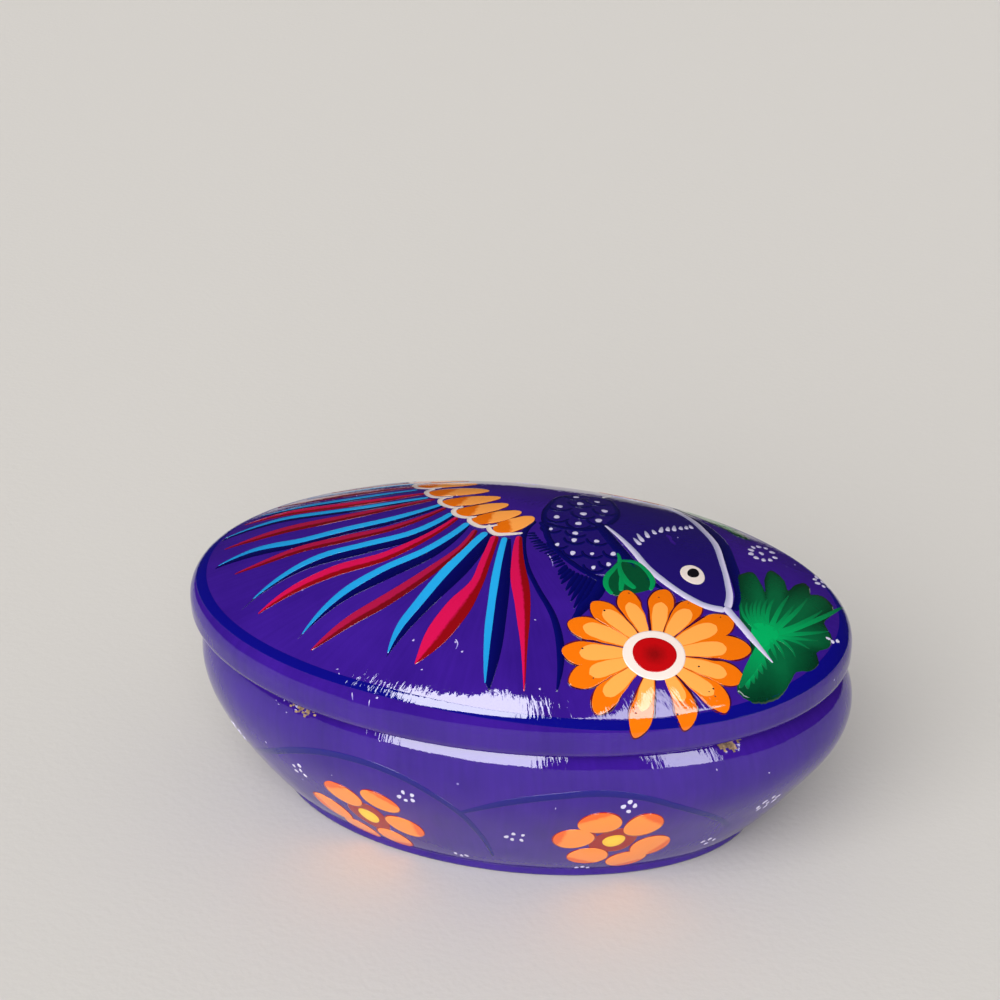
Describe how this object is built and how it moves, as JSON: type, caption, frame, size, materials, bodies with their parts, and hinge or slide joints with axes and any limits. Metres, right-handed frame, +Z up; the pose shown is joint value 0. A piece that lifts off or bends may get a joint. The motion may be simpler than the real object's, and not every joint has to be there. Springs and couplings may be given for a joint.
{
  "type": "trinket box",
  "caption": "Oval lidded box in painted, varnished clay: an open bowl with a domed lid that lifts straight off.",
  "frame": {"origin": "centre of the flat base, on the surface that the box stands on", "axes": "+X along the long axis, -Y the front side with the large daisy, +Z up"},
  "size_m": [0.15, 0.098, 0.0665],
  "materials": {
    "bowl_clay": "low-fired clay painted violet with bright flowers, under brushed gloss varnish",
    "lid_clay": "low-fired clay painted violet with a bird, feathers and flowers, under brushed gloss varnish"
  },
  "bodies": {
    "bowl": {"bowl": "bowl_clay"},
    "lid": {"lid": "lid_clay"}
  },
  "joints": [
    {"name": "lid_lift", "type": "slide", "parent": "bowl", "child": "lid", "axis": [0, 0, 1], "range_m": [0, 0.06]}
  ]
}
